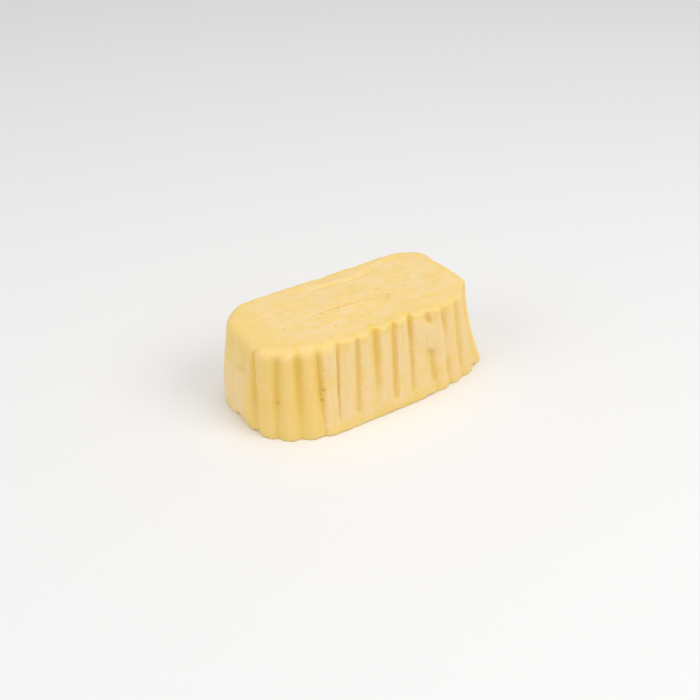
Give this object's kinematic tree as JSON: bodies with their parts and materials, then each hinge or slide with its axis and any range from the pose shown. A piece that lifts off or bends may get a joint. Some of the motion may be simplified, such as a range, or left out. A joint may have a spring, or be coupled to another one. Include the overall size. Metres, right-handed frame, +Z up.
{
  "type": "block of butter",
  "caption": "Block of butter turned out of a fluted mould, with soft upright ribs all round, a flat top with a shallow slit, and a flared, slightly ragged foot.",
  "frame": {"origin": "middle of the foot, on the surface that the block rests on", "axes": "+X along the block towards its flared end, +Z up, -Y towards the side with the deep flutes"},
  "size_m": [0.1234, 0.0642, 0.0452],
  "materials": {
    "butter": "soft, waxy satin, pale butter yellow with creamier smears"
  },
  "bodies": {
    "root": {"butter_block": "butter"}
  },
  "joints": []
}
